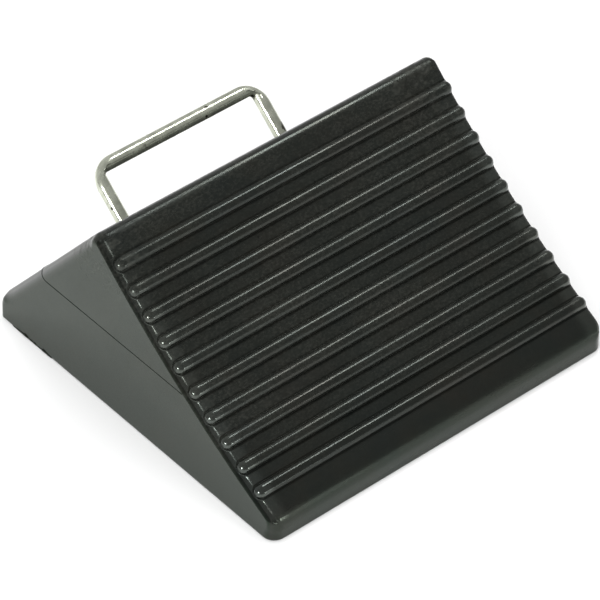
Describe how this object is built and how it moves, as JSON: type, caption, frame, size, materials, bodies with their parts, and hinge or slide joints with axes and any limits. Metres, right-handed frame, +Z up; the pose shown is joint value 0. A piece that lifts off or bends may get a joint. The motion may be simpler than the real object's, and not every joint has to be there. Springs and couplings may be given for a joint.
{
  "type": "rubber wheel chock",
  "caption": "Solid rubber wheel chock with a hollowed, ribbed tyre face, a plain rear slope and a steel carrying handle moulded into the slope.",
  "frame": {"origin": "centre of the flat base, on the ground", "axes": "+X along the width and the ribs, -Y towards the tyre, +Y towards the rear slope and the handle, +Z up"},
  "size_m": [0.254, 0.25, 0.124],
  "materials": {
    "rubber": "matt moulded black rubber with a faint sheen and dusty scuffs",
    "plated_steel": "bright zinc-plated round rod with small dark specks"
  },
  "bodies": {
    "root": {"rubber_block": "rubber", "handle": "plated_steel"}
  },
  "joints": []
}
